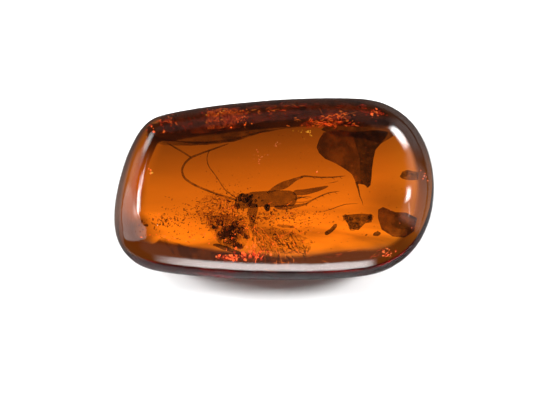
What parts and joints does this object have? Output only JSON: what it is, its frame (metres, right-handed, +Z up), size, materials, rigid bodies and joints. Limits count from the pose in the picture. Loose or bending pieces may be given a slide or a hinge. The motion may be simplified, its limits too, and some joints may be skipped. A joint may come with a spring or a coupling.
{
  "type": "insect in amber",
  "caption": "Polished oblong piece of clear orange amber with a long-horned cricket and scraps of plant sealed inside it.",
  "frame": {"origin": "centre of the bounding box in plan, on the flat base that the stone lies on", "axes": "+X along the longest side, towards the rounder end; +Y away from the front edge, towards the insect's back; +Z up, through the thickness"},
  "size_m": [0.0398, 0.0232, 0.0085],
  "materials": {
    "amber": "polished, clear orange",
    "chitin": "dark brown insect cuticle, a little translucent",
    "plant": "dark dry leaf or bract",
    "bark": "rough brown bark",
    "debris": "crumbly dark wood dust and droppings"
  },
  "bodies": {
    "root": {"amber_lower": "amber", "amber_upper": "amber", "cricket": "chitin", "plant_flake": "plant", "corner_flake": "plant", "edge_chip": "plant", "bark_chip": "bark", "debris_clump": "debris", "wood_sliver": "debris"}
  },
  "joints": []
}
